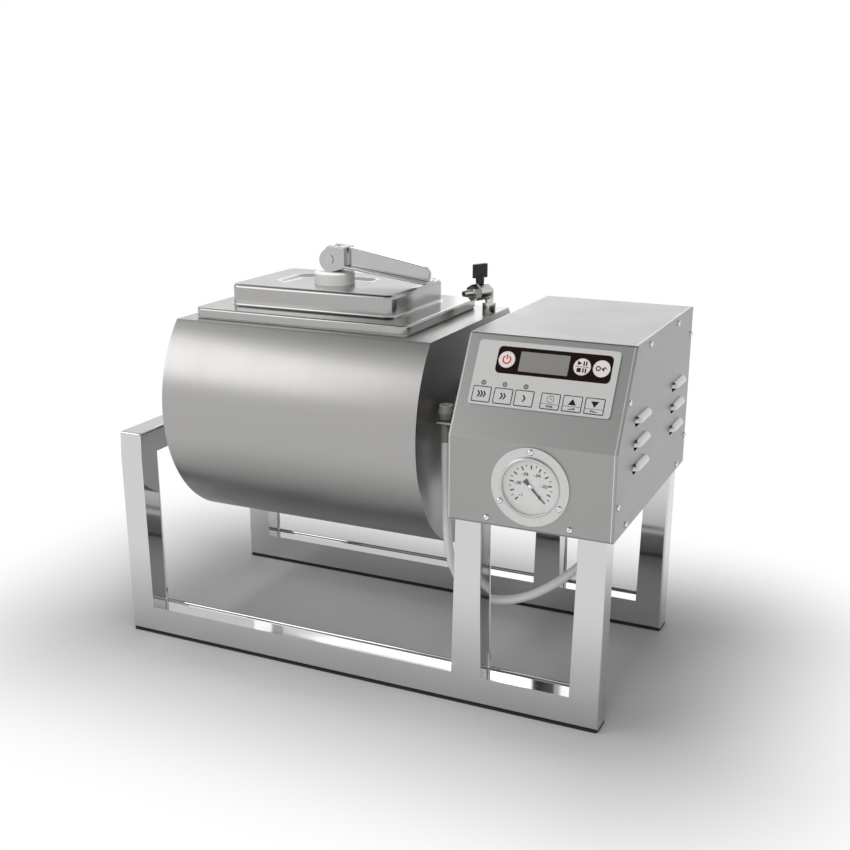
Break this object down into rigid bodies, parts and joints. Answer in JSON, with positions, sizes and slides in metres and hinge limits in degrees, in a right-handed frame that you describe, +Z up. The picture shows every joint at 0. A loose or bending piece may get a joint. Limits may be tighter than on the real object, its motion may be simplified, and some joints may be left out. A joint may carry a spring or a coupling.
{
  "type": "meat vacuum tumbler",
  "caption": "Bench top vacuum marinating drum with a clamped lid, turning between a tube stand and a drive box with keypad, gauge and suction hose.",
  "frame": {"origin": "centre of the bounding box on the floor, under the rubber strips", "axes": "+Z up, +X along the drum axis from the pillow block to the drive box, -Y to the front with gauge and keypad"},
  "size_m": [0.614, 0.312, 0.4735],
  "materials": {
    "polished_tube": "mirror polished stainless tube",
    "box_sheet": "fine brushed stainless sheet",
    "drum_sheet": "satin brushed stainless sheet",
    "lid_sheet": "satin pressed stainless",
    "turned_steel": "turned stainless",
    "cast_lever": "polished cast stainless",
    "nylon": "white nylon",
    "silicone": "translucent silicone",
    "foot_rubber": "black rubber",
    "cast_housing": "painted cast iron",
    "gearbox_alloy": "die cast",
    "motor_paint": "semi gloss paint",
    "circuit_board": "solder mask",
    "black_plastic": "moulded",
    "plated_brass": "nickel plated",
    "coupling_plastic": "moulded",
    "clear_hose": "soft translucent tube",
    "gauge_steel": "pressed steel rim",
    "dial_white": "printed white dial",
    "gauge_glass": "clear",
    "pointer_black": "matt black",
    "pad_grey": "printed film",
    "display_smoke": "smoked window",
    "lamp_grey": "unlit lamp",
    "key_film": "printed film key"
  },
  "bodies": {
    "frame": {"front_rail": "polished_tube", "rear_rail": "polished_tube", "left_front_post": "polished_tube", "left_rear_post": "polished_tube", "left_cross_tube": "polished_tube", "drive_front_left_post": "polished_tube", "drive_front_right_post": "polished_tube", "drive_rear_left_post": "polished_tube", "drive_rear_right_post": "polished_tube", "foot_strips": "foot_rubber", "pillow_block": "cast_housing", "pillow_bolts": "turned_steel", "housing_wrap": "box_sheet", "left_side_panel": "box_sheet", "right_side_panel": "box_sheet", "bottom_pan": "box_sheet", "deck_plate": "box_sheet", "panel_screws": "turned_steel", "keypad_plate": "pad_grey", "display_window": "display_smoke", "key_lamps": "lamp_grey", "gauge_case": "gauge_steel", "gauge_dial": "dial_white", "gauge_glass": "gauge_glass", "gearbox": "gearbox_alloy", "drive_motor": "motor_paint", "vacuum_pump": "gearbox_alloy", "control_board": "circuit_board", "mains_inlet": "black_plastic", "hose_holder": "box_sheet", "hose_coupling": "coupling_plastic", "hose_outlet": "plated_brass", "hose": "clear_hose"},
    "drum": {"drum_shell": "drum_sheet", "drum_left_end": "drum_sheet", "drum_right_end": "drum_sheet", "mouth_plate": "drum_sheet", "baffles": "drum_sheet", "left_shaft": "turned_steel", "bearing_insert": "turned_steel", "right_shaft": "turned_steel", "valve_body": "plated_brass"},
    "lid": {"lid_shell": "lid_sheet", "lid_gasket": "silicone"},
    "clamp_base": {"clamp_washer": "nylon"},
    "clamp_rod": {"clamp_stud": "turned_steel", "clamp_bar": "turned_steel"},
    "lever": {"cam_lever": "cast_lever", "lever_pin": "turned_steel"},
    "valve_handle": {"valve_knob": "black_plastic"},
    "gauge_needle": {"gauge_pointer": "pointer_black"},
    "key_power_cap": {"key_power": "key_film"},
    "key_start_cap": {"key_start": "key_film"},
    "key_vacuum_cap": {"key_vacuum": "key_film"},
    "key_fast_cap": {"key_fast": "key_film"},
    "key_medium_cap": {"key_medium": "key_film"},
    "key_slow_cap": {"key_slow": "key_film"},
    "key_timer_cap": {"key_timer": "key_film"},
    "key_up_cap": {"key_up": "key_film"},
    "key_down_cap": {"key_down": "key_film"}
  },
  "joints": [
    {"name": "drum_spin", "type": "hinge", "parent": "frame", "child": "drum", "pos_m": [0, 0.001, 0.2913], "axis": [1, 0, 0], "continuous": true},
    {"name": "lid_lift", "type": "slide", "parent": "drum", "child": "lid", "axis": [0, 0, 1], "range_m": [0, 0.12]},
    {"name": "clamp_turn", "type": "hinge", "parent": "lid", "child": "clamp_base", "pos_m": [-0.093, 0.001, 0.3933], "axis": [0, 0, 1], "range_deg": [0, 90]},
    {"name": "clamp_drop", "type": "slide", "parent": "clamp_base", "child": "clamp_rod", "axis": [0, 0, -1], "range_m": [0, 0.002]},
    {"name": "lever_turn", "type": "hinge", "parent": "clamp_rod", "child": "lever", "pos_m": [-0.093, 0.001, 0.4572], "axis": [0, -1, 0], "range_deg": [0, 130]},
    {"name": "valve_turn", "type": "hinge", "parent": "drum", "child": "valve_handle", "pos_m": [0.06869, 0.05964, 0.4198], "axis": [0, 0, 1], "range_deg": [0, 90]},
    {"name": "gauge_needle_turn", "type": "hinge", "parent": "frame", "child": "gauge_needle", "pos_m": [0.2115, -0.151, 0.263], "axis": [0, -1, 0], "range_deg": [0, 268], "stiffness_Nm_per_rad": 0.0005},
    {"name": "key_power_press", "type": "slide", "parent": "frame", "child": "key_power_cap", "axis": [0, 0.8644, -0.5028], "range_m": [0, 0.0004], "stiffness_N_per_m": 2000},
    {"name": "key_start_press", "type": "slide", "parent": "frame", "child": "key_start_cap", "axis": [0, 0.8644, -0.5028], "range_m": [0, 0.0004], "stiffness_N_per_m": 2000},
    {"name": "key_vacuum_press", "type": "slide", "parent": "frame", "child": "key_vacuum_cap", "axis": [0, 0.8644, -0.5028], "range_m": [0, 0.0004], "stiffness_N_per_m": 2000},
    {"name": "key_fast_press", "type": "slide", "parent": "frame", "child": "key_fast_cap", "axis": [0, 0.8644, -0.5028], "range_m": [0, 0.0004], "stiffness_N_per_m": 2000},
    {"name": "key_medium_press", "type": "slide", "parent": "frame", "child": "key_medium_cap", "axis": [0, 0.8644, -0.5028], "range_m": [0, 0.0004], "stiffness_N_per_m": 2000},
    {"name": "key_slow_press", "type": "slide", "parent": "frame", "child": "key_slow_cap", "axis": [0, 0.8644, -0.5028], "range_m": [0, 0.0004], "stiffness_N_per_m": 2000},
    {"name": "key_timer_press", "type": "slide", "parent": "frame", "child": "key_timer_cap", "axis": [0, 0.8644, -0.5028], "range_m": [0, 0.0004], "stiffness_N_per_m": 2000},
    {"name": "key_up_press", "type": "slide", "parent": "frame", "child": "key_up_cap", "axis": [0, 0.8644, -0.5028], "range_m": [0, 0.0004], "stiffness_N_per_m": 2000},
    {"name": "key_down_press", "type": "slide", "parent": "frame", "child": "key_down_cap", "axis": [0, 0.8644, -0.5028], "range_m": [0, 0.0004], "stiffness_N_per_m": 2000}
  ],
  "couplings": [
    {"joint": "clamp_drop", "follows": "lever_turn", "m_per_rad": 0.00088147}
  ]
}
